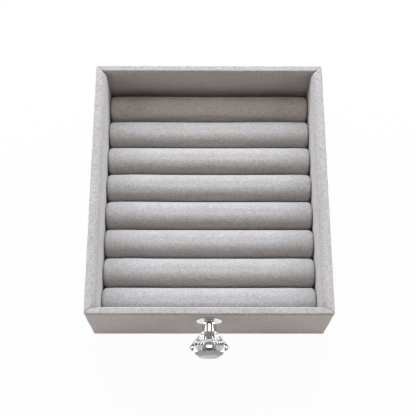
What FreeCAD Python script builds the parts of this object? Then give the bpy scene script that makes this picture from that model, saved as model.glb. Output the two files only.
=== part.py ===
import FreeCAD, Part

# Velvet-covered drawer tray for finger rings: a board box wrapped in velvet, a lift-out
# insert of foam ring rolls, and a cut-crystal knob on a chrome stem.
# Millimetres, +Z up. The origin is the centre of the underside, and the knob points to -Y.

import math
import os
from collections import namedtuple

from FreeCAD import Vector

# Tray, outside
tray_width = 150.0
tray_depth = 169.1
tray_height = 53.3

# Sheet stock
velvet = 0.8
wall_board = 3.0
base_thickness = 3.0
side_padding = 2.6
end_padding = 0.7

# Edges of the velvet wrap
rim_edge_radius = 1.0
foot_edge_radius = 1.2
shoulder_drop = 5.0
turn_in = 10.0

# Felt under the tray
felt = 1.1
felt_stand_out = 0.3
felt_margin = 0.5
felt_corner_radius = 3.0

# Insert that carries the ring rolls
insert_side_clearance = 0.5
insert_front_clearance = 0.3
insert_back_clearance = 2.0
riser_foam = 5.3
riser_inset = 1.0
card = 1.5
card_corner_radius = 4.0

# Ring rolls, side by side from front to back
roll_count = 8
roll_squeeze = 0.15
roll_seat = 1.1
roll_end_radius = 1.5
roll_end_steps = 3

# Knob stem, chrome
knob_below_rim = 14.8
flange_diameter = 15.7
flange_thickness = 1.0
flange_edge_radius = 0.4
flare_radius = 2.4
stem_diameter = 9.2
stem_length = 7.8
spigot_diameter = 4.8
spigot_length = 7.0
spigot_clearance = 0.05

# Knob crystal, from its back on the stem to its girdle, where it is widest, and its table
facet_count = 12
crystal_diameter = 24.4
crystal_overhang = 0.2
pavilion_length = 9.7
pavilion_break = 4.2
girdle_width = 0.4
crown_length = 4.7
crown_break = 1.6
star_length = 1.4
table_diameter = 12.0

# Knob screw and washer
thread_diameter = 4.0
thread_clearance = 0.05
thread_engagement = 5.0
thread_run_out = 0.5
screw_hole_clearance = 0.3
washer_diameter = 9.0
washer_thickness = 0.8
washer_clearance = 0.15
head_diameter = 8.0
head_height = 1.6
driver_slot_width = 1.0
driver_slot_depth = 0.8
recess_clearance = 0.3

# Heights that follow
board_bottom = felt
floor_board_top = felt + base_thickness
floor_top = floor_board_top + velvet
card_bottom = floor_top + riser_foam
card_top = card_bottom + card
board_top = tray_height - velvet
shoulder_z = tray_height - shoulder_drop
knob_z = tray_height - knob_below_rim

# Plan sizes that follow; "in" is the distance from the outer face of a wall
half_width = tray_width / 2
half_depth = tray_depth / 2
board_in = velvet + wall_board
side_wall = board_in + side_padding + velvet
end_wall = board_in + end_padding + velvet
inner_half_width = half_width - side_wall
inner_half_depth = half_depth - end_wall
insert_half_width = inner_half_width - insert_side_clearance
insert_front = insert_front_clearance - inner_half_depth
insert_back = inner_half_depth - insert_back_clearance

# Ring rolls that follow
roll_pitch = (insert_back - insert_front) / roll_count
roll_radius = roll_pitch / 2 + roll_squeeze
roll_z = card_top + roll_radius - roll_seat

# Reach of the knob from the front face
crystal_end = stem_length + pavilion_length + girdle_width + crown_length

# Holes for the knob screw
thread_radius = thread_diameter / 2
screw_hole_radius = thread_radius + screw_hole_clearance
recess_radius = washer_diameter / 2 + recess_clearance

# The walls in order round the tray, each a quarter turn about Z from the one before. A wall has
# the distance of its outer face from the middle, half its outside length, its own thickness and
# that of the walls it meets.
Wall = namedtuple("Wall", "face_distance half_length thickness next_thickness")
WALLS = {
    "left": Wall(half_width, half_depth, side_wall, end_wall),
    "front": Wall(half_depth, half_width, end_wall, side_wall),
    "right": Wall(half_width, half_depth, side_wall, end_wall),
    "back": Wall(half_depth, half_width, end_wall, side_wall),
}


def box(low, high):
    """Return the box between two corners."""
    size = high - low
    return Part.makeBox(size.x, size.y, size.z, low)


def centred_box(half_x, half_y, bottom, top):
    """Return a box centred on the Z axis between two heights."""
    return box(Vector(-half_x, -half_y, bottom), Vector(half_x, half_y, top))


def round_cornered(sheet, radius):
    """Return a sheet that lies flat with its four corners rounded."""
    corners = [edge for edge in sheet.Edges if edge.tangentAt(0).isEqual(Vector(0, 0, 1), 1e-6)]
    return sheet.makeFillet(radius, corners)


def outline(start, *steps):
    """Return the face inside a closed outline of lines and arcs.

    A step is the end of a line, or the middle and the end of an arc.
    """
    edges = []
    here = start
    for step in steps + (start,):
        if isinstance(step, tuple):
            middle, end = step
            edges.append(Part.Arc(here, middle, end).toShape())
        else:
            end = step
            edges.append(Part.LineSegment(here, end).toShape())
        here = end
    return Part.Face(Part.Wire(edges))


def on_circle(centre, radius, degrees):
    """Return the point of a circle in the XZ plane at an angle from +X towards +Z."""
    turn = math.radians(degrees)
    return centre + Vector(radius * math.cos(turn), 0, radius * math.sin(turn))


def arc_about(centre, radius, start_degrees, end_degrees):
    """Return the middle and the end of an arc in the XZ plane, as a step of an outline."""
    middle = on_circle(centre, radius, (start_degrees + end_degrees) / 2)
    return middle, on_circle(centre, radius, end_degrees)


def stand(shape, wall):
    """Place a wall's shape, drawn from its outer face at X = 0, on its side of the tray."""
    turn = 360 / len(WALLS) * list(WALLS).index(wall)
    shape.translate(Vector(-WALLS[wall].face_distance, 0, 0))
    shape.rotate(Vector(0, 0, 0), Vector(0, 0, 1), turn)
    return shape


def shoulder_arc(thickness, offset):
    """Return the centre, radius and top angle of a wall's padded shoulder.

    The shoulder leaves the rim above the board's inner face and drops to the wall's inner face.
    offset moves it into the wall, as for the padding under the velvet.
    """
    run = thickness - board_in
    outer_radius = (run ** 2 + shoulder_drop ** 2) / (2 * run)
    centre = Vector(thickness - outer_radius, 0, shoulder_z)
    radius = outer_radius - offset
    top_angle = math.degrees(math.acos((board_in - centre.x) / radius))
    return centre, radius, top_angle


def mitred(shape, wall):
    """Cut the ends of a wall's shape along the seams at the tray's corners."""
    half_length = WALLS[wall].half_length
    thickness = WALLS[wall].thickness
    next_thickness = WALLS[wall].next_thickness
    foot_end = turn_in + velvet
    past = thickness + velvet
    foot = outline(
        Vector(0, -half_length, 0),
        Vector(foot_end, foot_end - half_length, 0),
        Vector(foot_end, half_length - foot_end, 0),
        Vector(0, half_length, 0),
    ).extrude(Vector(0, 0, board_bottom))
    upper = outline(
        Vector(0, -half_length, board_bottom),
        Vector(board_in, board_in - half_length, board_bottom),
        Vector(thickness, next_thickness - half_length, board_bottom),
        Vector(past, next_thickness - half_length, board_bottom),
        Vector(past, half_length - next_thickness, board_bottom),
        Vector(thickness, half_length - next_thickness, board_bottom),
        Vector(board_in, half_length - board_in, board_bottom),
        Vector(0, half_length, board_bottom),
    ).extrude(Vector(0, 0, tray_height))
    return shape.common(foot.fuse(upper)).removeSplitter()


def along_wall(section, wall):
    """Extrude a section in the XZ plane over a wall's outside length."""
    half_length = WALLS[wall].half_length
    section.translate(Vector(0, -half_length, 0))
    return section.extrude(Vector(0, 2 * half_length, 0))


def knob_bore(radius, depth_from, depth_to):
    """Return a cylinder on the knob's axis, between two depths behind the front face."""
    start = Vector(0, depth_from - half_depth, knob_z)
    return Part.makeCylinder(radius, depth_to - depth_from, start, Vector(0, 1, 0))


def wall_cover(wall):
    """Velvet wrapped round one wall: turned in below, up the outside, over the rim and down."""
    thickness = WALLS[wall].thickness
    centre, radius, top_angle = shoulder_arc(thickness, 0)
    under_centre, under_radius, under_angle = shoulder_arc(thickness, velvet)
    foot_centre = Vector(foot_edge_radius, 0, felt_stand_out + foot_edge_radius)
    rim_centre = Vector(rim_edge_radius, 0, tray_height - rim_edge_radius)
    section = outline(
        Vector(turn_in, 0, felt_stand_out),
        on_circle(foot_centre, foot_edge_radius, 270),
        arc_about(foot_centre, foot_edge_radius, 270, 180),
        on_circle(rim_centre, rim_edge_radius, 180),
        arc_about(rim_centre, rim_edge_radius, 180, 90),
        on_circle(centre, radius, top_angle),
        arc_about(centre, radius, top_angle, 0),
        Vector(thickness, 0, floor_board_top),
        Vector(thickness - velvet, 0, floor_board_top),
        on_circle(under_centre, under_radius, 0),
        arc_about(under_centre, under_radius, 0, under_angle),
        Vector(board_in, 0, board_top),
        Vector(velvet, 0, board_top),
        Vector(velvet, 0, board_bottom),
        Vector(turn_in, 0, board_bottom),
    )
    cover = stand(mitred(along_wall(section, wall), wall), wall)
    if wall == "front":
        cover = cover.cut(knob_bore(screw_hole_radius, 0, board_in))
        cover = cover.cut(knob_bore(recess_radius, board_in, thickness))
    return cover


def wall_pad(wall):
    """Foam padding between one wall's board and its velvet, with a rounded shoulder."""
    thickness = WALLS[wall].thickness
    centre, radius, top_angle = shoulder_arc(thickness, velvet)
    section = outline(
        Vector(board_in, 0, floor_board_top),
        on_circle(centre, radius, top_angle),
        arc_about(centre, radius, top_angle, 0),
        Vector(thickness - velvet, 0, floor_board_top),
    )
    pad = stand(mitred(along_wall(section, wall), wall), wall)
    if wall == "front":
        pad = pad.cut(knob_bore(recess_radius, board_in, thickness))
    return pad


def wall_panel(wall):
    """Board of one wall; the front and back boards cover the ends of the side boards."""
    half_length = WALLS[wall].half_length
    end_gap = board_in if wall in ("left", "right") else velvet
    board = stand(
        box(
            Vector(velvet, end_gap - half_length, board_bottom),
            Vector(board_in, half_length - end_gap, board_top),
        ),
        wall,
    )
    if wall == "front":
        board = board.cut(knob_bore(screw_hole_radius, 0, board_in))
        board = board.cut(knob_bore(recess_radius, board_in - washer_thickness, board_in))
    return board


def base_board():
    """Board that closes the bottom, between the four wall boards."""
    return centred_box(half_width - board_in, half_depth - board_in, board_bottom, floor_board_top)


def base_felt():
    """Felt sheet under the tray, inside the turned-in edges of the velvet."""
    edge = turn_in + felt_margin
    sheet = centred_box(half_width - edge, half_depth - edge, 0, felt)
    return round_cornered(sheet, felt_corner_radius)


def floor_lining():
    """Velvet sheet on the inside of the bottom."""
    return centred_box(inner_half_width, inner_half_depth, floor_board_top, floor_top)


def insert_sheet(inset, bottom, top):
    """Return a sheet of the insert between two heights, set in from the insert's edges."""
    side = insert_half_width - inset
    low = Vector(-side, insert_front + inset, bottom)
    high = Vector(side, insert_back - inset, top)
    return round_cornered(box(low, high), card_corner_radius)


def insert_riser():
    """Foam sheet that lifts the ring rolls towards the rim."""
    return insert_sheet(riser_inset, floor_top, card_bottom)


def insert_card():
    """Greyboard card that the ring rolls are glued to."""
    return insert_sheet(0, card_bottom, card_top)


def roll_section(skin):
    """Return the section of a ring roll in the XZ plane, taken in by the thickness of a skin.

    The round is flat below, where it is glued down, and at its flanks, where rolls press
    together.
    """
    radius = roll_radius - skin
    flank = roll_pitch / 2 - skin
    bottom = card_top + skin
    centre = Vector(0, 0, roll_z)
    flank_angle = math.degrees(math.acos(flank / radius))
    seat_angle = math.degrees(math.asin((roll_z - bottom) / radius))
    return outline(
        on_circle(centre, radius, -seat_angle),
        arc_about(centre, radius, -seat_angle, -flank_angle),
        on_circle(centre, radius, flank_angle),
        arc_about(centre, radius, flank_angle, 180 - flank_angle),
        on_circle(centre, radius, 180 + flank_angle),
        arc_about(centre, radius, 180 + flank_angle, 180 + seat_angle),
    )


def roll_section_at(skin, along):
    """Return the section of a ring roll at a distance along the Y axis."""
    section = roll_section(skin)
    section.translate(Vector(0, along, 0))
    return section


def roll_core_solid():
    """Return the foam of a ring roll about the Y axis."""
    half_length = insert_half_width - velvet
    return roll_section_at(velvet, -half_length).extrude(Vector(0, 2 * half_length, 0))


def roll_outside():
    """Return the outside of a ring roll about the Y axis, its ends drawn in by a round edge."""
    near_end = []
    for step in range(roll_end_steps + 1):
        turn = math.pi / 2 * step / roll_end_steps
        taken_in = roll_end_radius * (1 - math.sin(turn))
        from_end = roll_end_radius * (1 - math.cos(turn))
        near_end.append((taken_in, from_end - insert_half_width))
    far_end = [(taken_in, -along) for taken_in, along in reversed(near_end)]
    wires = [roll_section_at(*place).OuterWire for place in near_end + far_end]
    return Part.makeLoft(wires, True, True)


def place_roll(roll, index):
    """Turn a ring roll along X and move it to its place, counted from the front."""
    placed = roll.copy()
    placed.rotate(Vector(0, 0, 0), Vector(0, 0, 1), 90)
    placed.translate(Vector(0, insert_front + (index + 0.5) * roll_pitch, 0))
    return placed


def knob_point(reach, radius):
    """Return the point of the knob's half section, by its reach from the front face."""
    return Vector(0, -half_depth - reach, knob_z + radius)


def knob_stem():
    """Chrome stem with a flange on the front face and a spigot inside the crystal."""
    flange_radius = flange_diameter / 2
    stem_radius = stem_diameter / 2
    spigot_radius = spigot_diameter / 2
    corner = 1 - math.sqrt(0.5)
    flare_end = flange_thickness + flare_radius
    section = outline(
        knob_point(0, 0),
        knob_point(0, flange_radius),
        knob_point(flange_thickness - flange_edge_radius, flange_radius),
        (
            knob_point(
                flange_thickness - corner * flange_edge_radius,
                flange_radius - corner * flange_edge_radius,
            ),
            knob_point(flange_thickness, flange_radius - flange_edge_radius),
        ),
        knob_point(flange_thickness, stem_radius + flare_radius),
        (
            knob_point(
                flange_thickness + corner * flare_radius, stem_radius + corner * flare_radius
            ),
            knob_point(flare_end, stem_radius),
        ),
        knob_point(stem_length, stem_radius),
        knob_point(stem_length, spigot_radius),
        knob_point(stem_length + spigot_length, spigot_radius),
        knob_point(stem_length + spigot_length, 0),
    )
    stem = section.revolve(knob_point(0, 0), Vector(0, 1, 0), 360)
    depth = thread_engagement + thread_run_out
    return stem.cut(knob_bore(thread_radius + thread_clearance, -depth, 0))


def line_radius(near, far, reach):
    """Return the radius, at a reach, of the line through two points of the half section.

    The points are pairs of reach and radius.
    """
    share = (reach - near[0]) / (far[0] - near[0])
    return near[1] + share * (far[1] - near[1])


def edge_point(near, far, reach):
    """Return where the edge between two main facets passes a reach, seen from a break facet."""
    half_facet = math.pi / facet_count
    corner_radius = line_radius(near, far, reach) / math.cos(half_facet)
    return reach, corner_radius * math.cos(half_facet / 2)


def facet_family(count, first, near, far):
    """Return the pyramid that one family of facets belongs to, over the crystal's length.

    Its flats pass through near and far. first is the place of the first one, in facets from the
    top.
    """
    rings = []
    for reach in (stem_length, crystal_end):
        corner_radius = line_radius(near, far, reach) / math.cos(math.pi / count)
        corners = []
        for index in range(count):
            turn = 2 * math.pi * (index + first + 0.5) / count
            corner = knob_point(reach, corner_radius * math.cos(turn))
            corners.append(corner + Vector(corner_radius * math.sin(turn), 0, 0))
        rings.append(corners)
    low, high = rings
    facets = [[low[i - 1], low[i], high[i], high[i - 1]] for i in range(count)]
    faces = [Part.Face(Part.makePolygon(facet + facet[:1])) for facet in facets + rings]
    pyramid = Part.makeSolid(Part.makeShell(faces))
    if pyramid.Volume < 0:
        pyramid.reverse()
    return pyramid


def knob_crystal():
    """Cut crystal: a long pavilion from the stem to the girdle, then a low crown and a table.

    Main facets run up the pavilion and the crown. Pairs of break facets soften the edges between
    them at the girdle, and star facets do at the table.
    """
    girdle_start = stem_length + pavilion_length
    girdle_end = girdle_start + girdle_width
    back = (stem_length, stem_diameter / 2 + crystal_overhang)
    low_girdle = (girdle_start, crystal_diameter / 2)
    high_girdle = (girdle_end, crystal_diameter / 2)
    table_edge = (crystal_end, table_diameter / 2)
    low_break = edge_point(back, low_girdle, girdle_start - pavilion_break)
    high_break = edge_point(high_girdle, table_edge, girdle_end + crown_break)
    star_reach = crystal_end - star_length
    star_radius = line_radius(high_girdle, table_edge, star_reach)
    star = (star_reach, star_radius / math.cos(math.pi / facet_count))
    families = [
        facet_family(facet_count, 0, back, low_girdle),
        facet_family(2 * facet_count, 0.5, low_break, low_girdle),
        facet_family(facet_count, 0, high_girdle, table_edge),
        facet_family(2 * facet_count, 0.5, high_girdle, high_break),
        facet_family(facet_count, 0.5, star, table_edge),
    ]
    crystal = knob_bore(crystal_diameter / 2, -crystal_end, -stem_length)
    for family in families:
        crystal = crystal.common(family)
    socket_radius = spigot_diameter / 2 + spigot_clearance
    socket_end = stem_length + spigot_length + spigot_clearance
    return crystal.cut(knob_bore(socket_radius, -socket_end, -stem_length))


def knob_screw():
    """Machine screw from inside the tray, its slotted head sunk in the padding."""
    shank = knob_bore(thread_radius, -thread_engagement, board_in)
    head = knob_bore(head_diameter / 2, board_in, board_in + head_height)
    head_back = board_in + head_height - half_depth
    slot = box(
        Vector(-head_diameter, head_back - driver_slot_depth, knob_z - driver_slot_width / 2),
        Vector(head_diameter, head_back, knob_z + driver_slot_width / 2),
    )
    return shank.fuse(head).cut(slot).removeSplitter()


def knob_washer():
    """Washer under the screw's head, seated in the front board."""
    seat = board_in - washer_thickness
    disc = knob_bore(washer_diameter / 2, seat, board_in)
    return disc.cut(knob_bore(thread_radius + washer_clearance, seat, board_in))


def ring_rolls():
    """Return the foam core and the velvet cover of every ring roll, by node name."""
    core = roll_core_solid()
    cover = roll_outside().cut(core)
    nodes = {}
    for index in range(roll_count):
        nodes["roll_core_%d" % (index + 1)] = place_roll(core, index)
        nodes["roll_cover_%d" % (index + 1)] = place_roll(cover, index)
    return nodes


def main():
    """Build every piece and write one STEP file for each."""
    nodes = {
        "base_felt": base_felt(),
        "base_board": base_board(),
        "floor_lining": floor_lining(),
        "insert_riser": insert_riser(),
        "insert_card": insert_card(),
        "knob_stem": knob_stem(),
        "knob_crystal": knob_crystal(),
        "knob_screw": knob_screw(),
        "knob_washer": knob_washer(),
    }
    for wall in WALLS:
        nodes["%s_board" % wall] = wall_panel(wall)
        nodes["%s_pad" % wall] = wall_pad(wall)
        nodes["%s_cover" % wall] = wall_cover(wall)
    nodes.update(ring_rolls())
    os.makedirs("parts", exist_ok=True)
    for name, shape in nodes.items():
        shape.exportStep("parts/%s.step" % name)


main()
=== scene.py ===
"""Looks of a velvet ring drawer, dressed over its packed construction.

A board box wrapped in light grey velvet holds eight velvet rolls for finger rings, on a card that
lifts out. A cut-crystal knob on a chrome stem stands at the front. Lengths are in metres, and
places are in the frame's axes: +Z up, the knob towards -Y, the origin under the tray's middle.
"""

import sys

import logging
import math
from dataclasses import dataclass
from enum import Enum
from functools import cache

import bmesh
import bpy
import numpy as np
from mathutils import Matrix, Vector, noise


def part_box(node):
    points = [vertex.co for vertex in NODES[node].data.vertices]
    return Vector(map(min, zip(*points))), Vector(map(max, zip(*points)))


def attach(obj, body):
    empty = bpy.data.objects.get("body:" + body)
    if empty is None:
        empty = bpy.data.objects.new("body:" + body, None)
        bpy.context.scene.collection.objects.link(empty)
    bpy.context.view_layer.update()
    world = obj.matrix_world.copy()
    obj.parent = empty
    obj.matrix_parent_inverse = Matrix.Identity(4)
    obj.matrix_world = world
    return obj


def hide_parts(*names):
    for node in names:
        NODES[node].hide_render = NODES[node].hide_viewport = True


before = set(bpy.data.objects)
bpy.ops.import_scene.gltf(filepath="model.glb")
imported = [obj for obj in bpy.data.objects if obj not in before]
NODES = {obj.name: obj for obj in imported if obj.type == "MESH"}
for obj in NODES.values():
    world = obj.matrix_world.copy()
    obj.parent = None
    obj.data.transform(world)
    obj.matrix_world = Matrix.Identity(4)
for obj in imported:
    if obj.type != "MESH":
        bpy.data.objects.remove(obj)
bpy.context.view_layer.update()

MM = 0.001
TINY = 1e-9
QUARTER = math.pi / 2
log = logging.getLogger("ring_drawer")

Array = np.ndarray
Faces = list[tuple[int, ...]]
Mesh = bpy.types.Mesh
Piece = bpy.types.Object
Point = tuple[float, float]
Socket = bpy.types.NodeSocket
Tree = bpy.types.NodeTree


class Body(Enum):
    """The bodies that pieces ride on."""

    TRAY = "tray"
    INSERT = "insert"
    KNOB = "knob"


class Slot(Enum):
    """The record's material slots."""

    VELVET = "velvet_grey"
    FELT = "felt_grey"
    GREYBOARD = "greyboard"
    FOAM = "foam_white"
    CHROME = "chrome"
    CRYSTAL = "crystal"
    ZINC_STEEL = "zinc_steel"


class Wall(Enum):
    """The tray's walls, by the quarter turns about Z that bring the left one to each."""

    LEFT = 0
    FRONT = 1
    RIGHT = 2
    BACK = 3

    def node(self, part: str) -> str:
        """Return the name of this wall's node for a part, such as left_board."""
        return f"{self.name.lower()}_{part}"


@cache
def box(node: str) -> tuple[Vector, Vector]:
    """Return the low and high corners of a node of the construction."""
    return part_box(node)


def linear(hex_colour: str) -> tuple[float, float, float, float]:
    """Turn an sRGB hex colour to linear red, green, blue and an alpha of 1.

    Args:
        hex_colour: The colour, such as "#C8C6CA".

    Returns:
        Four numbers from 0 to 1.
    """
    channels = []
    for start in (1, 3, 5):
        value = int(hex_colour[start:start + 2], 16) / 255
        channels.append(value / 12.92 if value <= 0.04045 else ((value + 0.055) / 1.055) ** 2.4)
    return (*channels, 1.0)


def add_node(
    tree: Tree,
    kind: str,
    settings: dict[str, object] | None = None,
    inputs: dict[str | int, object] | None = None,
) -> bpy.types.Node:
    """Add a shader node with its settings, and set or link its inputs.

    Args:
        tree: The node tree to add to.
        kind: The node's type name.
        settings: Values of the node's own properties.
        inputs: A value, or another node's output, for each input by name or number.

    Returns:
        The new node.
    """
    node = tree.nodes.new(kind)
    for key, value in (settings or {}).items():
        setattr(node, key, value)
    for key, value in (inputs or {}).items():
        if isinstance(value, Socket):
            tree.links.new(value, node.inputs[key])
        else:
            node.inputs[key].default_value = value
    return node


def emptied_tree(owner: bpy.types.ID) -> Tree:
    """Give a material or world nodes of its own, and return their tree, empty."""
    owner.use_nodes = True
    owner.node_tree.nodes.clear()
    return owner.node_tree


@dataclass(frozen=True)
class Finish:
    """A finish: a real material with the surface that its making gives it."""

    name: str

    def shade(self, tree: Tree) -> Socket:
        """Build the finish's shader and return its output."""
        raise NotImplementedError

    def material(self) -> bpy.types.Material:
        """Return the finish's material, which is made when it is first asked for."""
        material = bpy.data.materials.get(self.name)
        if material is None:
            material = bpy.data.materials.new(self.name)
            tree = emptied_tree(material)
            surface = self.shade(tree)
            add_node(tree, "ShaderNodeOutputMaterial", inputs={"Surface": surface})
        return material


def speckle(tree: Tree, size_mm: float, detail: float = 2.0, distortion: float = 0.0) -> Socket:
    """Return a noise from 0 to 1 on the object, with specks of about a size.

    Args:
        tree: The node tree to add to.
        size_mm: The width of a speck.
        detail: How many finer octaves it has.
        distortion: How far its specks are drawn out and twisted.
    """
    place = add_node(tree, "ShaderNodeTexCoord").outputs["Object"]
    inputs = {"Vector": place, "Scale": 1 / (size_mm * MM)}
    inputs |= {"Detail": detail, "Distortion": distortion}
    return add_node(tree, "ShaderNodeTexNoise", inputs=inputs).outputs["Fac"]


def combine(tree: Tree, pattern: Socket, share: float, rest: Socket | float = 0.0) -> Socket:
    """Return a pattern's share plus the rest."""
    inputs = {0: pattern, 1: share, 2: rest}
    return add_node(tree, "ShaderNodeMath", {"operation": "MULTIPLY_ADD"}, inputs).outputs[0]


def stretch(
    tree: Tree, pattern: Socket, source: Point = (0.0, 1.0), target: Point = (0.0, 1.0)
) -> Socket:
    """Return a pattern with the range source stretched over the range target."""
    inputs = {0: pattern, 1: source[0], 2: source[1], 3: target[0], 4: target[1]}
    return add_node(tree, "ShaderNodeMapRange", inputs=inputs).outputs[0]


def blend(tree: Tree, share: Socket, first: Socket | str, second: Socket | str) -> Socket:
    """Return a mix of two colours, each a socket or a hex colour, by the share of the second."""
    colours = [linear(colour) if isinstance(colour, str) else colour for colour in (first, second)]
    inputs = {0: share, 6: colours[0], 7: colours[1]}
    return add_node(tree, "ShaderNodeMix", {"data_type": "RGBA"}, inputs).outputs[2]


def relief(
    tree: Tree, height: Socket, depth_mm: float, strength: float = 0.5, invert: bool = False
) -> Socket:
    """Return the normal of a surface with a small relief of some depth."""
    inputs = {"Height": height, "Distance": depth_mm * MM, "Strength": strength}
    return add_node(tree, "ShaderNodeBump", {"invert": invert}, inputs).outputs["Normal"]


def either(tree: Tree, test: Socket, otherwise: Socket, chosen: Socket) -> Socket:
    """Return the chosen shader where the test is 1, and the other where it is 0."""
    inputs = {0: test, 1: otherwise, 2: chosen}
    return add_node(tree, "ShaderNodeMixShader", inputs=inputs).outputs[0]


def principled(tree: Tree, **inputs: object) -> Socket:
    """Return a principled shader, its inputs named with _ for each space."""
    named = {key.replace("_", " "): value for key, value in inputs.items()}
    return add_node(tree, "ShaderNodeBsdfPrincipled", inputs=named).outputs[0]


@dataclass(frozen=True)
class CutPileVelvet(Finish):
    """Polyester velvet, knitted double and cut apart, so its pile stands up.

    The upright pile scatters light softly and goes pale where it is seen edge-on. It shows small
    tufts with shade between them, in patches where it has been stroked one way or the other.
    """

    pile_tip: str = "#B3B0AF"
    pile_root: str = "#867F7D"
    tuft_mm: float = 0.8  # real tufts are 0.2 mm apart, drawn coarser so that they show
    stroke_mm: float = 2.2
    drift_mm: float = 24.0
    tuft_share: float = 0.66
    stroke_share: float = 0.25
    drift_share: float = 0.09
    contrast: float = 2.2
    bump_mm: float = 0.45
    sheen: float = 0.5
    sheen_roughness: float = 0.45

    def shade(self, tree: Tree) -> Socket:
        """Mix root and tip colour by tufts, strokes and a slow drift, under a soft sheen."""
        tufts = speckle(tree, self.tuft_mm)
        strokes = speckle(tree, self.stroke_mm, detail=3.0)
        drift = speckle(tree, self.drift_mm, detail=1.0)
        shade = combine(tree, drift, self.drift_share)
        shade = combine(tree, strokes, self.stroke_share, shade)
        shade = combine(tree, tufts, self.tuft_share, shade)
        margin = 0.5 / self.contrast
        tips = stretch(tree, shade, (0.5 - margin, 0.5 + margin))
        return principled(
            tree,
            Base_Color=blend(tree, tips, self.pile_root, self.pile_tip),
            Roughness=1.0,
            Specular_IOR_Level=0.1,
            Sheen_Weight=self.sheen,
            Sheen_Roughness=self.sheen_roughness,
            Normal=relief(tree, tufts, self.bump_mm),
        )


@dataclass(frozen=True)
class NeedledFelt(Finish):
    """Polyester felt, needle-punched from loose fibre: matt, with short tangled hairs."""

    dark: str = "#77757A"
    pale: str = "#A3A1A5"
    fibre_mm: float = 0.5
    clump_mm: float = 4.0
    clump_share: float = 0.4
    tangle: float = 1.4
    span: Point = (0.45, 0.95)

    def shade(self, tree: Tree) -> Socket:
        """Mix two greys by a fibrous noise laid over a coarser clumping."""
        fibres = speckle(tree, self.fibre_mm, detail=4.0, distortion=self.tangle)
        both = combine(tree, speckle(tree, self.clump_mm), self.clump_share, fibres)
        share = stretch(tree, both, self.span)
        return principled(
            tree,
            Base_Color=blend(tree, share, self.dark, self.pale),
            Roughness=0.95,
            Specular_IOR_Level=0.15,
            Sheen_Weight=0.2,
            Normal=relief(tree, both, depth_mm=0.2, strength=0.6),
        )


@dataclass(frozen=True)
class PulpGreyboard(Finish):
    """Greyboard, pressed from waste-paper pulp: dull grey-brown with darker and paler flecks."""

    base: str = "#97918A"
    fleck: str = "#6E6861"
    pale_fibre: str = "#B9B4AC"
    fleck_mm: float = 0.9
    fleck_span: Point = (0.62, 0.7)
    fibre_mm: float = 0.35

    def shade(self, tree: Tree) -> Socket:
        """Scatter dark flecks and pale fibres over the pulp's grey."""
        fibres = speckle(tree, self.fibre_mm, detail=3.0)
        flecks = stretch(tree, speckle(tree, self.fleck_mm, detail=1.0), self.fleck_span)
        pulp = blend(tree, fibres, self.base, self.pale_fibre)
        return principled(
            tree,
            Base_Color=blend(tree, flecks, pulp, self.fleck),
            Roughness=0.85,
            Specular_IOR_Level=0.3,
            Normal=relief(tree, fibres, depth_mm=0.05, strength=0.25),
        )


@dataclass(frozen=True)
class SlabFoam(Finish):
    """Polyurethane foam, cut from a slab: off-white, with small open cells at the cut."""

    wall: str = "#E9E6DE"
    # colour of the open cells: painted shade in the hollows between the foam's walls
    cell_shade: str = "#BDB8AB"
    cell_mm: float = 0.8
    cell_span: Point = (0.05, 0.35)

    def shade(self, tree: Tree) -> Socket:
        """Darken and sink the open cells between the foam's pale walls; their darker colour is painted
        shade in the hollows.
        """
        place = add_node(tree, "ShaderNodeTexCoord").outputs["Object"]
        inputs = {"Vector": place, "Scale": 1 / (self.cell_mm * MM)}
        cells = add_node(tree, "ShaderNodeTexVoronoi", {"feature": "DISTANCE_TO_EDGE"}, inputs)
        inside = stretch(tree, cells.outputs["Distance"], self.cell_span)
        return principled(
            tree,
            Base_Color=blend(tree, inside, self.wall, self.cell_shade),
            Roughness=0.9,
            Specular_IOR_Level=0.2,
            Normal=relief(tree, inside, depth_mm=0.2, strength=0.6, invert=True),
        )


@dataclass(frozen=True)
class ChromePlate(Finish):
    """Bright chromium, plated over polished zinc: a near mirror, faintly clouded by buffing."""

    tint: str = "#E4E4E6"
    roughness: Point = (0.042, 0.09)
    buffing_mm: float = 1.5

    def shade(self, tree: Tree) -> Socket:
        """Let the roughness vary a little where the plate was buffed."""
        clouds = speckle(tree, self.buffing_mm)
        roughness = stretch(tree, clouds, target=self.roughness)
        return principled(tree, Base_Color=linear(self.tint), Metallic=1.0, Roughness=roughness)


@dataclass(frozen=True)
class CutCrystal(Finish):
    """Lead-free crystal glass, machine-cut and polished: clear, with sharp bright facets."""

    ior: float = 1.55
    tint: str = "#FCFDFD"

    def shade(self, tree: Tree) -> Socket:
        """Bend and mirror light as polished glass does."""
        tint = linear(self.tint)
        return principled(tree, Base_Color=tint, Roughness=0.0, IOR=self.ior, Transmission_Weight=1.0)


@dataclass(frozen=True)
class CuredEpoxy(Finish):
    """Epoxy that the crystal is set in, pooled and cured: near black under the glass."""

    tone: str = "#1E1C1A"
    roughness: Point = (0.35, 0.6)
    haze_mm: float = 1.0

    def shade(self, tree: Tree) -> Socket:
        """Let the gloss vary a little where the epoxy pooled."""
        roughness = stretch(tree, speckle(tree, self.haze_mm), target=self.roughness)
        return principled(tree, Base_Color=linear(self.tone), Roughness=roughness)


@dataclass(frozen=True)
class ZincPlatedSteel(Finish):
    """Turned steel, plated with zinc: silvery, with a dull bloom over fine tool marks."""

    pale: str = "#C6C8CA"
    dull: str = "#9FA3A6"
    roughness: Point = (0.25, 0.5)
    bloom_mm: float = 1.2

    def shade(self, tree: Tree) -> Socket:
        """Cloud a half-bright metal."""
        bloom = speckle(tree, self.bloom_mm, detail=3.0)
        colour = blend(tree, bloom, self.pale, self.dull)
        roughness = stretch(tree, bloom, target=self.roughness)
        return principled(tree, Base_Color=colour, Metallic=1.0, Roughness=roughness)


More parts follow.
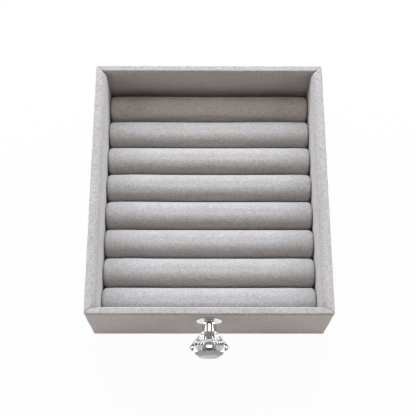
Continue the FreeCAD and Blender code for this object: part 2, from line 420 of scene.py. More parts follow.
@dataclass(frozen=True)
class WhitePaper(Finish):
    """Background paper: matt, bounces the light, and shows almost white to camera and chrome. Through
    the crystal it glows only dimly: painted shade for the drawer's shadow on it.
    """

    grey: str = "#D8D2CD"
    shadow: str = "#282828"
    white: float = 0.96
    # glow of the paper seen through the crystal, kept dim: painted shade for the drawer's shadow on
    # the paper
    in_glass: float = 0.26

    def shade(self, tree: Tree) -> Socket:
        """Show the paper in the strengths that its look, and the crystal's, need; its dim glow through
        glass is painted shade.
        """
        path = add_node(tree, "ShaderNodeLightPath").outputs
        paper = self.sheet(tree, self.grey)
        seen = self.sheet(tree, self.shadow, self.white)
        paper = either(tree, path["Is Glossy Ray"], paper, seen)
        # painted shade: the paper seen through glass is a dim glow over a dark sheet
        through = self.sheet(tree, self.shadow, self.in_glass)
        paper = either(tree, path["Is Transmission Ray"], paper, through)
        return either(tree, path["Is Camera Ray"], paper, seen)

    @staticmethod
    def sheet(tree: Tree, grey: str, glow: float = 0.0) -> Socket:
        """Return the look of a matt sheet that is grey under the lights and glows without them."""
        matt = add_node(tree, "ShaderNodeBsdfDiffuse", inputs={"Color": linear(grey)})
        glowing = add_node(tree, "ShaderNodeEmission", inputs={"Strength": glow})
        both = {0: matt.outputs[0], 1: glowing.outputs[0]}
        return add_node(tree, "ShaderNodeAddShader", inputs=both).outputs[0]


VELVET = CutPileVelvet("cut_pile_velvet")
FELT = NeedledFelt("needled_felt")
GREYBOARD = PulpGreyboard("pulp_greyboard")
FOAM = SlabFoam("slab_foam")
CHROME = ChromePlate("chrome_plate")
CRYSTAL = CutCrystal("cut_crystal")
EPOXY = CuredEpoxy("cured_epoxy")
ZINC_STEEL = ZincPlatedSteel("zinc_plated_steel")
PAPER = WhitePaper("white_paper")


def add_object(name: str, data: bpy.types.ID) -> Piece:
    """Make an object of a mesh, light or camera in the scene."""
    piece = bpy.data.objects.new(name, data)
    bpy.context.scene.collection.objects.link(piece)
    return piece


def coat(piece: Piece, finish: Finish) -> None:
    """Give a piece, or a node of the construction that stays as it is, its finish."""
    piece.data.materials.clear()
    piece.data.materials.append(finish.material())
    log.info("%s: %d faces, %s", piece.name, len(piece.data.polygons), finish.name)


def dress(piece: Piece, finish: Finish, body: Body, node: str) -> None:
    """Give a new piece its finish and let it ride on a body in place of a node.

    Args:
        piece: The piece, already in place.
        finish: Its finish.
        body: The body that it moves with.
        node: The construction's node that it stands for.
    """
    coat(piece, finish)
    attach(piece, body.value)
    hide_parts(node)


def mesh_piece(
    name: str,
    points: Array | list[tuple[float, float, float]],
    faces: Faces,
    crease_degrees: float = 40.0,
) -> Piece:
    """Make a smooth closed piece from points and faces.

    Args:
        name: The piece's name.
        points: Its corners.
        faces: The corner numbers of each face.
        crease_degrees: The angle from which an edge between faces shows sharp.

    Returns:
        The new object, with its faces turned outwards.
    """
    mesh = bpy.data.meshes.new(name)
    mesh.from_pydata([tuple(point) for point in points], [], faces)
    shell = bmesh.new()
    shell.from_mesh(mesh)
    bmesh.ops.recalc_face_normals(shell, faces=shell.faces)
    shell.to_mesh(mesh)
    shell.free()
    mesh.shade_smooth()
    mesh.set_sharp_from_angle(angle=math.radians(crease_degrees))
    return add_object(name, mesh)


def keep_modified(piece: Piece) -> None:
    """Make a piece's modified mesh its own, and drop its modifiers."""
    graph = bpy.context.evaluated_depsgraph_get()
    mesh = bpy.data.meshes.new_from_object(piece.evaluated_get(graph))
    piece.modifiers.clear()
    piece.data = mesh


def bore(piece: Piece, radius: float, start: Vector, depth: float) -> None:
    """Cut a round hole through a piece, towards +Y.

    Args:
        piece: The piece to cut.
        radius: The hole's radius.
        start: The middle of the hole's front end.
        depth: Its length.
    """
    shape = bmesh.new()
    middle = start + Vector((0, depth / 2, 0))
    bmesh.ops.create_cone(
        shape,
        cap_ends=True,
        segments=64,
        radius1=radius,
        radius2=radius,
        depth=depth,
        matrix=Matrix.Translation(middle) @ Matrix.Rotation(QUARTER, 4, "X"),
    )
    mesh = bpy.data.meshes.new("bore")
    shape.to_mesh(mesh)
    shape.free()
    cutter = add_object("bore", mesh)
    cut = piece.modifiers.new("bore", "BOOLEAN")
    cut.operation = "DIFFERENCE"
    cut.solver = "EXACT"
    cut.object = cutter
    keep_modified(piece)
    bpy.data.objects.remove(cutter)
    bpy.data.meshes.remove(mesh)


def line(start: Point, end: Point, steps: int) -> list[Point]:
    """Return the points of a straight run after its start, in equal steps."""
    (x, y), (end_x, end_y) = start, end
    shares = [step / steps for step in range(1, steps + 1)]
    return [(x + (end_x - x) * share, y + (end_y - y) * share) for share in shares]


def arc(centre: Point, radius: float, start: float, end: float, steps: int) -> list[Point]:
    """Return the points of an arc after its start, between two angles in degrees."""
    points = []
    for step in range(1, steps + 1):
        turn = math.radians(start + (end - start) * step / steps)
        points.append((centre[0] + radius * math.cos(turn), centre[1] + radius * math.sin(turn)))
    return points


def facing(points: Array) -> Array:
    """Return the unit vector to the left of a line of 2-D points, at each of them."""
    along = np.gradient(points, axis=0)
    along /= np.linalg.norm(along, axis=1)[:, None]
    return np.stack([-along[:, 1], along[:, 0]], axis=1)


def bell(distance: Array, width: Array | float) -> Array:
    """Return a bell curve of height 1 at a distance of 0."""
    return np.exp(-((distance / width) ** 2))


def ramp(value: Array, start: float, end: float) -> Array:
    """Return 0 up to start, 1 from end on and a straight rise between them."""
    return np.clip((value - start) / (end - start), 0.0, 1.0)


def waviness(places: Array, size: float) -> Array:
    """Return a smooth noise from about -1 to 1 at each place, with waves of about a size."""
    flat = places.reshape(-1, 3) / size
    return np.array([noise.noise(Vector(place)) for place in flat]).reshape(places.shape[:-1])


def skin_faces(rows: int, count: int, rings: bool) -> Faces:
    """Return the faces between rows of points, numbered row by row.

    Args:
        rows: How many rows there are.
        count: How many points each row has.
        rings: Whether each row is a ring. If not, the rows follow each other in a ring.
    """
    faces = []
    for row in range(rows - 1 if rings else rows):
        here = row * count
        there = (row + 1) % rows * count
        for step in range(count if rings else count - 1):
            after = (step + 1) % count
            faces.append((here + step, here + after, there + after, there + step))
    return faces


def slab(
    name: str, low: Vector, high: Vector, corner_radius: float, edge_radius: float
) -> Piece:
    """Make a flat sheet with rounded corners and softly rounded edges.

    Args:
        name: The piece's name.
        low: The low corner of its box.
        high: The high corner of its box.
        corner_radius: The radius of its corners in plan.
        edge_radius: The radius of its upper and lower edges.
    """
    edge_steps = 4
    corner_steps = 8
    turns = np.linspace(0, QUARTER, edge_steps + 1)
    inset = edge_radius * (1 - np.sin(turns))
    rise = edge_radius * (1 - np.cos(turns))
    levels = [*zip(inset, low.z + rise)] + [*zip(inset[::-1], high.z - rise[::-1])]
    left, right = low.x + corner_radius, high.x - corner_radius
    front, back = low.y + corner_radius, high.y - corner_radius
    middles = ((right, back), (left, back), (left, front), (right, front))
    points = []
    for drawn_in, height in levels:
        radius = max(corner_radius - drawn_in, 0.0)
        for corner, (x, y) in enumerate(middles):
            for turn in np.linspace(corner, corner + 1, corner_steps + 1) * QUARTER:
                points.append((x + radius * math.cos(turn), y + radius * math.sin(turn), height))
    around = len(middles) * (corner_steps + 1)
    last = len(points) - around
    lids = [tuple(range(around)), tuple(range(last, len(points)))]
    return mesh_piece(name, points, skin_faces(len(levels), around, rings=True) + lids)


@dataclass(frozen=True)
class WallRun:
    """A wall's place in the tray, which turns a section into a strip with mitred ends."""

    wall: Wall
    face_distance: float
    half_length: float
    thickness: float
    next_thickness: float
    board_in: float
    board_bottom: float

    def seam_inset(self, u: Array, z: Array) -> Array:
        """Return how far from the wall's end the corner's seam lies.

        Args:
            u: Distances into the wall from its outer face.
            z: Heights.

        Returns:
            The seam's distances from the end, along the wall.
        """
        slope = (self.next_thickness - self.board_in) / (self.thickness - self.board_in)
        bent = self.board_in + (u - self.board_in) * slope
        return np.where((u <= self.board_in) | (z < self.board_bottom), u, bent)

    def to_frame(self, u: Array, v: Array, z: Array) -> Array:
        """Place points given by distance into the wall, distance along it and height."""
        x = u - self.face_distance
        turned = ((x, v), (-v, x), (-x, -v), (v, -x))[self.wall.value]
        return np.stack(np.broadcast_arrays(*turned, z), axis=-1)


@dataclass(frozen=True)
class Section:
    """The section of a strip along a wall: points of its face and, behind each, of its back.

    Points are pairs of distance into the wall and height.
    """

    face: Array
    back: Array

    @property
    def width(self) -> float:
        """The length of the face's line."""
        return float(np.linalg.norm(np.diff(self.face, axis=0), axis=1).sum())

    def swept(self, name: str, run: WallRun, stations: "Stations") -> Piece:
        """Sweep the section along a wall, from seam to seam.

        Args:
            name: The piece's name.
            run: The wall's place.
            stations: How the strip lies at each station along the wall.

        Returns:
            The new object.
        """
        front = stations.lay_face(run, self.face)
        back = stations.lay_back(run, self.back)
        rows, count = front.shape[:2]
        loop = np.concatenate([front, back[::-1]])
        faces = skin_faces(2 * rows, count, rings=False)
        for row in range(rows - 1):
            back_row = 2 * rows - 1 - row
            for end in (0, count - 1):
                loop_rows = (row, row + 1, back_row - 1, back_row)
                faces.append(tuple(loop_row * count + end for loop_row in loop_rows))
        return mesh_piece(name, loop.reshape(-1, 3), faces, crease_degrees=50.0)


@dataclass(frozen=True)
class Stations:
    """Where the points of a swept strip lie along a wall: close near its seams, wide between.

    Distances run from a seam, measured over the cloth.
    """

    nearest: float = 0.07 * MM
    growth: float = 1.48
    reach: float = 12.0 * MM
    middle_count: int = 37

    @property
    def from_seam(self) -> Array:
        """The distances of the stations near a seam."""
        distances = [0.0, self.nearest]
        step = self.nearest
        while distances[-1] < self.reach:
            step *= self.growth
            distances.append(distances[-1] + step)
        return np.array(distances)

    def both_ways(self, near: Array, mirrored: int = 1) -> Array:
        """Join one end's stations, those between and the other end's.

        Args:
            near: A value for each point of the section at the stations from a seam.
            mirrored: -1 where the value changes sign from one end to the other.
        """
        share = np.linspace(1, mirrored, self.middle_count + 2)[1:-1]
        between = near[:, -1:] * share[None, :]
        return np.concatenate([near, between, mirrored * near[:, ::-1]], axis=1)

    def lay_back(self, run: WallRun, line_points: Array) -> Array:
        """Return the frame points of a plain face, cut off along the seams."""
        u, z = line_points.T[..., None]
        near_v = run.half_length - run.seam_inset(u, z) - self.from_seam
        return run.to_frame(u, self.both_ways(near_v, -1), z)

    def lay_face(self, run: WallRun, line_points: Array) -> Array:
        """Return the frame points of the strip's face."""
        return self.lay_back(run, line_points)


@dataclass(frozen=True)
class ClothStations(Stations):
    """How hand-glued velvet lies: rounded at the upright corners and tucked into the seams.

    Along the rim's outer edge, where the wrap meets the strip over the rim, runs a crease.
    """

    rim: float = 0.0
    corner_radius: float = 1.2 * MM
    rim_radius: float = 1.0 * MM
    crease_drop: float = 0.8 * MM  # below the round of the rim
    crease_depth: float = 0.32 * MM
    crease_width: float = 0.3 * MM
    crease_wave: float = 2.6 * MM
    crease_unevenness: float = 0.6
    outer_tuck: Point = (0.1 * MM, 0.45 * MM)  # depth and width
    rim_tuck: Point = (0.4 * MM, 0.5 * MM)
    inner_tuck: Point = (0.5 * MM, 1.7 * MM)
    inner_from: Point = (0.6, 1.3)  # where the inner tuck sets in, in shares of board_in
    lump: float = 0.08 * MM
    lump_size: float = 13.0 * MM
    corner_lump: float = 0.14 * MM
    corner_reach: float = 9.0 * MM

    def tuck(self, run: WallRun, u: Array, z: Array) -> list[Array]:
        """Return how deep and how wide the cloth is tucked into the seam at each point."""
        on_rim = ramp(z, self.rim - self.rim_radius, self.rim)
        above_hem = z > 2 * run.board_bottom
        inside = ramp(u, *(share * run.board_in for share in self.inner_from)) * above_hem
        return [
            (outer + (rim - outer) * on_rim) * (1 - inside) + inner * inside
            for outer, rim, inner in zip(self.outer_tuck, self.rim_tuck, self.inner_tuck)
        ]

    def lay_face(self, run: WallRun, line_points: Array) -> Array:
        """Return the frame points of the velvet's face."""
        u, z = line_points.T[..., None]
        out_of_wall, up = facing(line_points).T[..., None]
        near = self.from_seam
        radius = np.clip(self.corner_radius - u, 0, None) * (z > run.board_bottom)
        eighth = QUARTER / 2
        turn = np.clip(eighth - near / np.maximum(radius, TINY), 0, None) * (radius > 0)
        straight = np.clip(near - radius * eighth, 0, None)
        start = run.half_length - run.seam_inset(u, z) - radius
        face_u = self.both_ways(u + radius * (1 - np.cos(turn)))
        face_v = self.both_ways(start + radius * np.sin(turn) - straight, -1)
        out_u = self.both_ways(out_of_wall * np.cos(turn))
        out_v = self.both_ways(np.clip(-out_of_wall, 0, None) * np.sin(turn), -1)
        depth, width = self.tuck(run, u, z)
        places = run.to_frame(face_u, face_v, z)
        from_end = run.half_length - np.abs(face_v)
        swell = self.lump + self.corner_lump * bell(from_end, self.corner_reach)
        sunk = self.both_ways(depth * bell(near, width)) - swell * waviness(places, self.lump_size)
        crease_z = self.rim - self.rim_radius - self.crease_drop
        crease = self.crease_depth * bell(z - crease_z, self.crease_width) * (u < TINY)
        sunk += crease * (1 + self.crease_unevenness * waviness(places, self.crease_wave))
        return run.to_frame(face_u - sunk * out_u, face_v - sunk * out_v, z - sunk * up)


@dataclass(frozen=True)
class Tray:
    """The box: four velvet-wrapped walls, the bottom with its lining, and felt below.

    Sizes that the construction gives are read from the frame. The rest are fields.
    """

    velvet: float = 0.8 * MM
    foot_radius: float = 1.2 * MM
    shoulder_drop: float = 5.0 * MM
    fine_band: float = 2.5 * MM  # below the rim's round, where the crease needs more points
    least_pad: float = 0.05 * MM
    clearance: float = 1.0 * MM
    screw_hole_radius: float = 2.3 * MM
    recess_radius: float = 4.8 * MM
    felt_corner_radius: float = 3.0 * MM

    @property
    def outer(self) -> Vector:
        """The tray's outer corner at the right, the back and the rim."""
        return Vector((box("right_cover")[1].x, box("back_cover")[1].y, box("left_cover")[1].z))

    @property
    def board_in(self) -> float:
        """The distance from a wall's outer face to its board's inner face."""
        return box("left_board")[1].x + self.outer.x

    def run(self, wall: Wall) -> WallRun:
        """Return a wall's place in the tray."""
        half_width, half_depth = self.outer.xy
        inside = box("floor_lining")[1]
        side = (half_width, half_depth, half_width - inside.x)
        end = (half_depth, half_width, half_depth - inside.y)
        own, meeting = (side, end) if wall in (Wall.LEFT, Wall.RIGHT) else (end, side)
        return WallRun(wall, *own, meeting[2], self.board_in, box("left_board")[0].z)

    def shoulder(self, thickness: float, offset: float) -> list[Point]:
        """Return the points of a wall's padded shoulder, from its board's inner face down.

        Args:
            thickness: The wall's thickness.
            offset: How far under the velvet's face it lies.
        """
        across = thickness - self.board_in
        face_radius = (across**2 + self.shoulder_drop**2) / (2 * across)
        centre = (thickness - face_radius, self.outer.z - self.shoulder_drop)
        radius = face_radius - offset
        top = math.degrees(math.acos((self.board_in - centre[0]) / radius))
        start = (self.board_in, centre[1] + radius * math.sin(math.radians(top)))
        return [start, *arc(centre, radius, top, 0, steps=12)]

    def cover_section(self, thickness: float, rim_radius: float) -> Section:
        """Return the section of a wall's velvet, from the hem below to the lining's foot.

        Args:
            thickness: The wall's thickness.
            rim_radius: The radius of the rim's outer edge.
        """
        hem_bottom = box("left_cover")[0].z
        hem_in = box("left_cover")[1].x + self.outer.x
        lining_foot = box("base_board")[1].z
        foot = (self.foot_radius, hem_bottom + self.foot_radius)
        rim = (rim_radius, self.outer.z - rim_radius)
        fine_from = rim[1] - self.fine_band
        shoulder = self.shoulder(thickness, offset=0.0)
        face = [(hem_in, hem_bottom)]
        face += line(face[-1], (foot[0], hem_bottom), steps=6)
        face += arc(foot, self.foot_radius, 270, 180, steps=8)
        face += line(face[-1], (0.0, fine_from), steps=26)
        face += line(face[-1], (0.0, rim[1]), steps=20)
        face += arc(rim, rim_radius, 180, 90, steps=8)
        face += line(face[-1], shoulder[0], steps=7)
        face += shoulder[1:]
        face += line(face[-1], (thickness, lining_foot), steps=22)
        face_points = np.array(face)
        back = face_points - facing(face_points) * self.velvet
        back[0] = (hem_in, hem_bottom + self.velvet)
        back[-1] = (thickness - self.velvet, lining_foot)
        return Section(face_points, back)

    def pad_section(self, thickness: float) -> Section:
        """Return the section of the foam between a wall's board and its velvet."""
        foot = box("base_board")[1].z
        (_, top), *shoulder = self.shoulder(thickness, self.velvet)
        face = [(self.board_in + self.least_pad, top), *shoulder]
        face += line(face[-1], (thickness - self.velvet, foot), steps=14)
        face_points = np.array(face)
        back = face_points.copy()
        back[:, 0] = self.board_in
        return Section(face_points, back)

    def dress_wall(self, wall: Wall) -> None:
        """Build a wall's velvet and foam, and finish its board."""
        run = self.run(wall)
        cloth = ClothStations(rim=self.outer.z)
        section = self.cover_section(run.thickness, cloth.rim_radius)
        cover = section.swept(wall.node("velvet"), run, cloth)
        pad = self.pad_section(run.thickness).swept(wall.node("foam"), run, Stations())
        if wall is Wall.FRONT:
            screw_low, screw_high = box("knob_screw")
            outside = Vector((0, -self.outer.y, (screw_low.z + screw_high.z) / 2))
            before = outside - Vector((0, self.clearance, 0))
            behind = outside + Vector((0, self.board_in, 0))
            bore(cover, self.screw_hole_radius, before, self.board_in + self.clearance)
            for piece in (cover, pad):
                bore(piece, self.recess_radius, behind, 2 * run.thickness)
        dress(cover, VELVET, Body.TRAY, wall.node("cover"))
        dress(pad, FOAM, Body.TRAY, wall.node("pad"))
        cut_off = 2 * float(run.seam_inset(*section.face.T).mean())
        coat(NODES[wall.node("board")], GREYBOARD)

    def dress_bottom(self) -> None:
        """Build the lining over the bottom board and the felt under it."""
        low, high = box("floor_lining")
        lining = slab("floor_velvet", low, high, corner_radius=0.6 * MM, edge_radius=0.3 * MM)
        dress(lining, VELVET, Body.TRAY, "floor_lining")
        low, high = box("base_felt")
        felt = slab("felt_sheet", low, high, self.felt_corner_radius, edge_radius=0.35 * MM)
        dress(felt, FELT, Body.TRAY, "base_felt")
        coat(NODES["base_board"], GREYBOARD)

    def build(self) -> None:
        """Build and dress the whole box."""
        for wall in Wall:
            self.dress_wall(wall)
        self.dress_bottom()


def corners(mesh: Mesh, kind: str = "co") -> Array:
    """Return the places of a mesh's corners, or, for the kind normal, the directions outward."""
    vectors = np.empty(len(mesh.vertices) * 3)
    mesh.vertices.foreach_get(kind, vectors)
    return vectors.reshape(-1, 3)


def move_corners(mesh: Mesh, places: Array) -> None:
    """Move a mesh's corners to new places."""
    mesh.vertices.foreach_set("co", places.ravel())
    mesh.update()


@dataclass(frozen=True)
class RingRoll:
    """A ring roll's round, about an axis along X: flat below and at its flanks."""

    name: str
    low: Vector
    high: Vector
    squeeze: float = 0.15 * MM
    end_radius: float = 1.8 * MM
    bow: float = 0.9 * MM  # how much further the roll reaches at its crest than at its flanks
    around: int = 72
    along: int = 48
    end_steps: int = 6
    least_radius: float = 0.3 * MM
    cap_shares: tuple[float, ...] = (0.25, 0.5, 0.75)

    def ring(self, x: float, drawn_in: float) -> Array:
        """Return the points of the round at a place along the roll.

        Args:
            x: The place.
            drawn_in: How far the round is drawn in there.
        """
        half_pitch = (self.high.y - self.low.y) / 2
        middle_y = (self.high.y + self.low.y) / 2
        full_radius = half_pitch + self.squeeze
        axis_z = self.high.z - full_radius
        radius = full_radius - drawn_in
        flank = half_pitch - drawn_in
        turns = np.linspace(-QUARTER, 2 * math.pi - QUARTER, self.around, endpoint=False)
        off_middle = np.clip(radius * np.cos(turns), -flank, flank)
        z = np.maximum(axis_z + radius * np.sin(turns), self.low.z + drawn_in)
        bowed = x * (1 - self.bow / self.high.x * (off_middle / half_pitch) ** 2)
        return np.stack([bowed, middle_y + off_middle, z], axis=1)

    def plan(self, skin: float) -> list[tuple[float, float]]:
        """Return places along the roll and how far the round is drawn in at each.

        Args:
            skin: How far inside the velvet's face it lies.
        """
        half = self.high.x - skin
        radius = max(self.end_radius - skin, self.least_radius)
        turns = np.linspace(0, QUARTER, self.end_steps + 1)
        end = [(half - radius * (1 - math.cos(turn)), radius * (1 - math.sin(turn))) for turn in turns]
        inner = half - radius
        straight = [(x, 0.0) for x in np.linspace(-inner, inner, self.along)[1:-1]]
        rounds = [(-x, drawn_in) for x, drawn_in in end] + straight + end[::-1]
        return [(x, skin + drawn_in) for x, drawn_in in rounds]

    def build(self, skin: float) -> Piece:
        """Make the roll.

        Args:
            skin: How far inside the velvet's face it lies.
        """
        rings = [self.ring(x, drawn_in) for x, drawn_in in self.plan(skin)]
        rims = rings[0], rings[-1]
        hubs = [rim.mean(axis=0) for rim in rims]
        start, end = (
            [hub + (rim - hub) * share for share in self.cap_shares] for hub, rim in zip(hubs, rims)
        )
        rings = start + rings + end[::-1]
        faces = skin_faces(len(rings), self.around, rings=True)
        first_hub = len(rings) * self.around
        for hub, ring in ((first_hub, 0), (first_hub + 1, first_hub - self.around)):
            for step in range(self.around):
                after = (step + 1) % self.around
                faces.append((ring + step, ring + after, hub))
        return mesh_piece(self.name, np.concatenate([*rings, hubs]), faces)

    def keep_in_place(self, piece: Piece) -> None:
        """Keep a piece's corners between the neighbours, the walls, the card and the crest."""
        kept = np.clip(corners(piece.data), np.array(self.low), np.array(self.high))
        move_corners(piece.data, kept)


@dataclass(frozen=True)
class Stuffing:
    """How foam fills out the velvet sewn round it, by a cloth simulation.

    The velvet starts a little inside its place, with the unevenness of hand-cut foam.
    """

    pressure: float = 4.0
    frames: int = 20
    start_inside: float = 0.12 * MM
    unevenness: float = 0.06 * MM
    wave: float = 17.0 * MM
    slack: float = 0.008
    furthest: float = 0.35 * MM
    deepest: float = 0.1 * MM
    held_height: float = 2.5 * MM
    apart: float = 61.0 * MM  # so far from each other the rolls' waves are taken

    def fill_out(self, pieces: list[Piece]) -> None:
        """Simulate all pieces at once and keep the result as their own meshes."""
        lays = [self.make_cloth(piece, number) for number, piece in enumerate(pieces)]
        scene = bpy.context.scene
        for number in range(1, self.frames + 1):
            scene.frame_set(number)
        graph = bpy.context.evaluated_depsgraph_get()
        for piece, (start, out) in zip(pieces, lays):
            move = corners(piece.evaluated_get(graph).data) - start
            length = np.linalg.norm(move, axis=1)
            move *= np.minimum(1.0, self.furthest / np.maximum(length, TINY))[:, None]
            inward = -(move * out).sum(axis=1)
            move += out * np.clip(inward - self.deepest, 0, None)[:, None]
            piece.modifiers.clear()
            piece.vertex_groups.clear()
            move_corners(piece.data, start + move)
            log.info("%s: filled out, %.2f mm on average", piece.name, length.mean() / MM)
        scene.frame_set(1)

    def make_cloth(self, piece: Piece, number: int) -> tuple[Array, Array]:
        """Make a piece uneven and turn it into cloth, held along its bottom.

        Args:
            piece: The piece.
            number: Its number, from which its own unevenness comes.

        Returns:
            The places of its corners while it was even, and the directions outward there.
        """
        start, out = corners(piece.data), corners(piece.data, "normal")
        own_place = np.array([0.0, 0.0, self.apart * number])
        swell = self.unevenness * waviness(start + own_place, self.wave)
        move_corners(piece.data, start + out * swell[:, None])
        held = piece.vertex_groups.new(name="held")
        bottom = start[:, 2].min() + self.held_height
        held.add(np.flatnonzero(start[:, 2] < bottom).tolist(), 1.0, "REPLACE")
        cloth = piece.modifiers.new("velvet", "CLOTH")
        cloth.settings.vertex_group_mass = held.name
        cloth.settings.use_pressure = True
        cloth.settings.uniform_pressure_force = self.pressure
        cloth.settings.shrink_min = -self.slack
        cloth.settings.effector_weights.gravity = 0
        cloth.collision_settings.use_collision = False
        cloth.point_cache.frame_end = self.frames
        return start, out


@dataclass(frozen=True)
class RingInsert:
    """The lift-out insert: ring rolls side by side on a card, over a sheet of foam."""

    velvet: float = 0.8 * MM
    card_corner_radius: float = 4.0 * MM
    stuffing: Stuffing = Stuffing()

    def build_rolls(self) -> None:
        """Build and dress the ring rolls, numbered from the front."""
        count = sum(name.startswith("roll_cover_") for name in NODES)
        numbers = range(1, count + 1)
        rolls = [RingRoll(f"roll_velvet_{n}", *box(f"roll_cover_{n}")) for n in numbers]
        covers = [roll.build(self.stuffing.start_inside) for roll in rolls]
        self.stuffing.fill_out(covers)
        for number, roll, cover in zip(numbers, rolls, covers):
            roll.keep_in_place(cover)
            finer = cover.modifiers.new("finer", "SUBSURF")
            finer.levels = 1
            keep_modified(cover)
            dress(cover, VELVET, Body.INSERT, f"roll_cover_{number}")
            core = RingRoll(f"roll_foam_{number}", roll.low, roll.high).build(self.velvet)
            dress(core, FOAM, Body.INSERT, f"roll_core_{number}")

    def build(self) -> None:
        """Build and dress the whole insert."""
        self.build_rolls()
        low, high = box("insert_riser")
        riser = slab("riser_foam", low, high, self.card_corner_radius, edge_radius=0.3 * MM)
        dress(riser, FOAM, Body.INSERT, "insert_riser")
        coat(NODES["insert_card"], GREYBOARD)


@dataclass(frozen=True)
class Knob:
    """The knob: a chrome stem, the crystal on it, and the screw and washer that hold it."""

    bond: float = 0.02 * MM  # how far the glass reaches into the spigot that it is glued to
    socket_reach: float = 2.8 * MM

    def from_axis(self, places: Array) -> Array:
        """Return the offsets of places from the knob's axis, as pairs of X and Z."""
        low, high = box("knob_crystal")
        return places[:, [0, 2]] - np.array(((low.x + high.x) / 2, (low.z + high.z) / 2))

    def glued_crystal(self) -> Piece:
        """Make the crystal with its socket closed on the spigot, as glue leaves no air there."""
        crystal = add_object("crystal", NODES["knob_crystal"].data.copy())
        stem = corners(NODES["knob_stem"].data)
        places = corners(crystal.data)
        across = self.from_axis(places)
        radius = np.linalg.norm(across, axis=1)
        socket = radius < self.socket_reach
        back = places[:, 1].max()
        ahead = stem[:, 1] < back - self.socket_reach
        spigot = np.linalg.norm(self.from_axis(stem[ahead]), axis=1).max()
        inwards = (spigot - self.bond) / radius[socket] - 1
        places[np.ix_(socket, [0, 2])] += across[socket] * inwards[:, None]
        bottom = socket & (places[:, 1] < back - self.socket_reach)
        places[bottom, 1] = stem[:, 1].min() + self.bond
        move_corners(crystal.data, places)
        return crystal

    def glue_spigot(self) -> None:
        """Finish the end of the stem's spigot as glue."""
        mesh = NODES["knob_stem"].data
        mesh.materials.append(EPOXY.material())
        end = corners(mesh)[:, 1].min()
        for face in mesh.polygons:
            if face.center.y < end + self.bond:
                face.material_index = 1

    def build(self) -> None:
        """Dress the knob's pieces."""
        dress(self.glued_crystal(), CRYSTAL, Body.KNOB, "knob_crystal")
        coat(NODES["knob_stem"], CHROME)
        self.glue_spigot()
        coat(NODES["knob_screw"], ZINC_STEEL)
        coat(NODES["knob_washer"], ZINC_STEEL)


@dataclass(frozen=True)
class Softbox:
    """A softly glowing panel that faces the object.

    Its glow is its brightness beside a white sheet that would show as full white. The crystal
    bends the light of a panel that glints, and shows nothing of one that doesn't.
    """

    name: str
    azimuth: float
    elevation: float
    distance: float
    width: float
    height: float
    glow: float
    colour: str
    glints: bool = True

    def hang(self) -> None:
        """Hang the panel, at an azimuth in degrees from +Y towards +X."""
        data = bpy.data.lights.new(self.name, "AREA")
        data.shape = "RECTANGLE"
        data.size = self.width
        data.size_y = self.height
        data.energy = self.glow * math.pi * self.width * self.height
        data.color = linear(self.colour)[:3]
        azimuth, elevation = math.radians(self.azimuth), math.radians(self.elevation)
        level = math.cos(elevation)
        away = Vector((math.sin(azimuth) * level, math.cos(azimuth) * level, math.sin(elevation)))
        panel = add_object(self.name, data)
        panel.location = away * self.distance
        panel.rotation_mode = "QUATERNION"
        panel.rotation_quaternion = away.to_track_quat("Z", "Y")
        panel.visible_camera = False
        panel.visible_transmission = self.glints


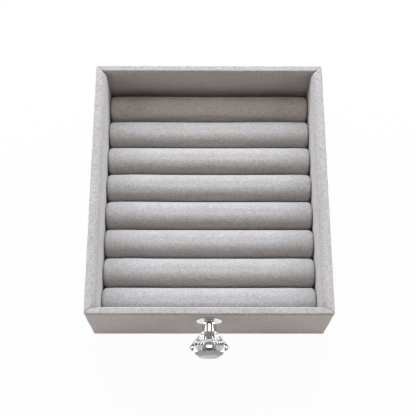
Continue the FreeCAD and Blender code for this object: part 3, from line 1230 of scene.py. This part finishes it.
@dataclass(frozen=True)
class Studio:
    """A pale floor, soft light from above and behind, and the camera."""

    picture_px: float = 416.0
    focal_px: float = 866.7
    tilt_degrees: float = 20.917
    yaw_degrees: float = -0.698
    roll_degrees: float = 0.736
    camera_place: tuple[float, float, float] = (-0.00313, -0.20958, 0.55753)
    sensor_mm: float = 36.0
    clip_start: float = 0.01
    floor_size: float = 12.0
    room_glow: float = 0.04
    room_in_glass: float = 0.88
    softboxes: tuple[Softbox, ...] = (
        Softbox("key", 0, 42, 1.6, 2.4, 0.62, 12.0, "#E3F1FE", glints=False),
        Softbox("top_strip", 0, 69, 1.6, 0.9, 0.7, 4.3, "#FFF4E6"),
        Softbox("ceiling", 180, 88, 1.6, 2.6, 2.6, 0.1, "#FFEFE6"),
        Softbox("left_card", -90, 24, 1.7, 2.4, 1.4, 2.4, "#FFFAF7"),
        Softbox("right_card", 90, 24, 1.7, 2.4, 1.4, 2.15, "#FFFAF7"),
        Softbox("front_card", 180, 15, 1.7, 1.6, 0.5, 1.5, "#FFECE2"),
    )

    def camera(self) -> None:
        """Set up the camera."""
        data = bpy.data.cameras.new("camera")
        data.sensor_width = self.sensor_mm
        data.lens = self.focal_px / self.picture_px * self.sensor_mm
        data.clip_start = self.clip_start
        camera = add_object("camera", data)
        turns = ((self.yaw_degrees, "Z"), (self.tilt_degrees, "X"), (self.roll_degrees, "Z"))
        yaw, tilt, roll = (Matrix.Rotation(math.radians(turn), 4, axis) for turn, axis in turns)
        camera.matrix_world = Matrix.Translation(self.camera_place) @ yaw @ tilt @ roll
        bpy.context.scene.camera = camera

    def floor(self) -> None:
        """Lay the paper that the drawer stands on."""
        half = self.floor_size / 2
        square = [(-half, -half, 0), (half, -half, 0), (half, half, 0), (-half, half, 0)]
        mesh = bpy.data.meshes.new("floor")
        mesh.from_pydata(square, [], [(0, 1, 2, 3)])
        mesh.materials.append(PAPER.material())
        add_object("floor", mesh)

    def surroundings(self) -> None:
        """Leave a dim room round the panels, its walls pale to the camera and beyond glass."""
        world = bpy.data.worlds.new("room")
        tree = emptied_tree(world)
        white = linear("#FFFFFF")
        room, beyond, seen = (
            add_node(tree, "ShaderNodeBackground", inputs={0: white, 1: strength}).outputs[0]
            for strength in (self.room_glow, self.room_in_glass, PAPER.white)
        )
        path = add_node(tree, "ShaderNodeLightPath").outputs
        walls = either(tree, path["Is Transmission Ray"], room, beyond)
        walls = either(tree, path["Is Camera Ray"], walls, seen)
        add_node(tree, "ShaderNodeOutputWorld", inputs={"Surface": walls})
        bpy.context.scene.world = world

    def build(self) -> None:
        """Set up floor, lights, camera and tone."""
        self.floor()
        self.surroundings()
        for softbox in self.softboxes:
            softbox.hang()
        self.camera()
        bpy.context.scene.view_settings.view_transform = "Standard"


def main() -> None:
    """Dress the drawer and set up its studio."""
    logging.basicConfig(level=logging.INFO, format="%(message)s", stream=sys.stdout)
    Tray().build()
    RingInsert().build()
    Knob().build()
    Studio().build()


if __name__ == "__main__":
    main()
